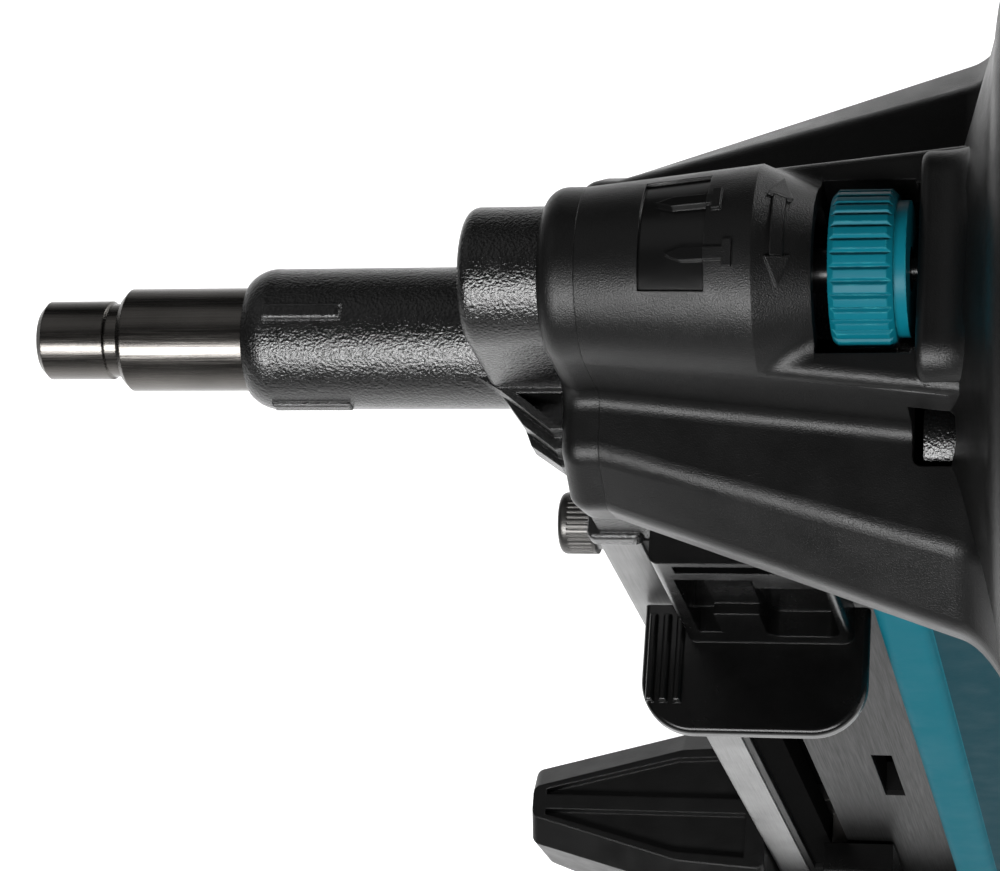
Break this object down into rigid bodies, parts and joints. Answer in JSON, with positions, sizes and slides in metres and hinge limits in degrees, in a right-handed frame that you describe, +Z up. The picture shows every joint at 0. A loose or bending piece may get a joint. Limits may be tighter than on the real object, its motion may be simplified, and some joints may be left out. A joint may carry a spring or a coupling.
{
  "type": "gas nailer",
  "caption": "Gas nailer with a pressed contact nose, knurled depth wheel, straight magazine with steadying foot, fuel column, pistol handle, battery and combustion engine inside.",
  "frame": {"origin": "centre of the contact tip's front face, on the drive axis", "axes": "+X back along the drive axis, +Y to the tool's right, +Z up"},
  "size_m": [0.439, 0.108, 0.384],
  "materials": {
    "probe_steel": "gloss black steel",
    "cast_black": "crinkle textured black paint",
    "cover_black": "fine textured black",
    "gloss_black": "smooth black",
    "teal": "satin teal",
    "rail_steel": "bare sheet steel",
    "plate_steel": "dark satin steel",
    "screw_steel": "blackened steel",
    "spring_steel": "spring wire",
    "blade_steel": "hardened steel",
    "aluminium": "machined",
    "motor_can": "drawn can",
    "rubber": "matte black rubber",
    "filter_foam": "open foam",
    "dark_plastic": "moulded",
    "board": "coated board",
    "brass": "bright contacts"
  },
  "bodies": {
    "body": {"nose_casting": "cast_black", "nose_cover": "cover_black", "nose_cover_ring": "cover_black", "rear_cap": "cover_black", "filter_cover": "cover_black", "support_foot": "cover_black", "housing_left": "teal", "housing_right": "teal", "magazine_front_rail": "rail_steel", "magazine_side_left": "plate_steel", "magazine_side_right": "plate_steel", "magazine_guide_left": "plate_steel", "magazine_guide_right": "plate_steel", "magazine_screws": "screw_steel", "nose_screws": "screw_steel", "housing_screws": "screw_steel", "fuel_door_pin": "screw_steel", "probe_return_spring": "spring_steel", "trigger_spring": "spring_steel", "follower_spring": "spring_steel", "latch_spring": "spring_steel", "cylinder": "aluminium", "chamber_head": "aluminium", "motor_mount": "aluminium", "fan_motor": "motor_can", "fuel_cell": "motor_can", "spark_plug": "motor_can", "bumper": "rubber", "cylinder_seal": "rubber", "head_seal": "rubber", "handle_grip": "rubber", "air_filter": "filter_foam", "trigger_switch": "dark_plastic", "fuel_valve": "dark_plastic", "fuel_tube": "dark_plastic", "control_board": "board"},
    "probe": {"contact_probe": "probe_steel", "contact_rod": "screw_steel", "contact_link": "screw_steel", "combustion_sleeve": "aluminium"},
    "depth_wheel": {"depth_wheel": "teal", "depth_spindle": "screw_steel"},
    "depth_stop": {"depth_stop": "screw_steel"},
    "piston": {"piston": "aluminium", "piston_ring": "rubber", "driver_blade": "blade_steel"},
    "fan": {"fan": "aluminium", "fan_shaft": "screw_steel"},
    "trigger": {"trigger": "gloss_black"},
    "fuel_door": {"fuel_door": "teal"},
    "battery": {"battery_case": "cover_black", "battery_terminals": "brass"},
    "button_left": {"battery_button_left": "gloss_black"},
    "button_right": {"battery_button_right": "gloss_black"},
    "follower": {"follower": "screw_steel", "follower_knob": "gloss_black"},
    "latch": {"magazine_latch": "gloss_black"}
  },
  "joints": [
    {"name": "contact_press", "type": "slide", "parent": "body", "child": "probe", "axis": [1, 0, 0], "range_m": [0, 0.016], "stiffness_N_per_m": 900, "springref_m": -0.012, "deforming": ["probe_return_spring"]},
    {"name": "depth_wheel_turn", "type": "hinge", "parent": "body", "child": "depth_wheel", "pos_m": [0.1219, 0, 0.0229], "axis": [1, 0, 0], "range_deg": [-360, 360]},
    {"name": "depth_stop_slide", "type": "slide", "parent": "body", "child": "depth_stop", "axis": [1, 0, 0], "range_m": [-0.002, 0.002]},
    {"name": "piston_stroke", "type": "slide", "parent": "body", "child": "piston", "axis": [-1, 0, 0], "range_m": [0, 0.099]},
    {"name": "fan_spin", "type": "hinge", "parent": "body", "child": "fan", "pos_m": [0.34, 0, 0], "axis": [1, 0, 0], "continuous": true},
    {"name": "trigger_pull", "type": "slide", "parent": "body", "child": "trigger", "axis": [1, 0, 0], "range_m": [0, 0.0065], "stiffness_N_per_m": 700, "springref_m": -0.004, "deforming": ["trigger_spring"]},
    {"name": "fuel_door_hinge", "type": "hinge", "parent": "body", "child": "fuel_door", "pos_m": [0.1645, 0, -0.3255], "axis": [0, -1, 0], "range_deg": [0, 90]},
    {"name": "battery_slide", "type": "slide", "parent": "body", "child": "battery", "axis": [1, 0, 0], "range_m": [0, 0.036]},
    {"name": "battery_button_left_press", "type": "slide", "parent": "battery", "child": "button_left", "axis": [0, 1, 0], "range_m": [0, 0.002], "stiffness_N_per_m": 600, "springref_m": -0.003},
    {"name": "battery_button_right_press", "type": "slide", "parent": "battery", "child": "button_right", "axis": [0, -1, 0], "range_m": [0, 0.002], "stiffness_N_per_m": 600, "springref_m": -0.003},
    {"name": "follower_slide", "type": "slide", "parent": "body", "child": "follower", "axis": [0, 0, 1], "range_m": [0, 0.165]},
    {"name": "latch_slide", "type": "slide", "parent": "body", "child": "latch", "axis": [-1, 0, 0], "range_m": [0, 0.006], "stiffness_N_per_m": 500, "springref_m": -0.004, "deforming": ["latch_spring"]}
  ],
  "couplings": [
    {"joint": "depth_stop_slide", "follows": "depth_wheel_turn", "m_per_rad": 0.00031831}
  ]
}
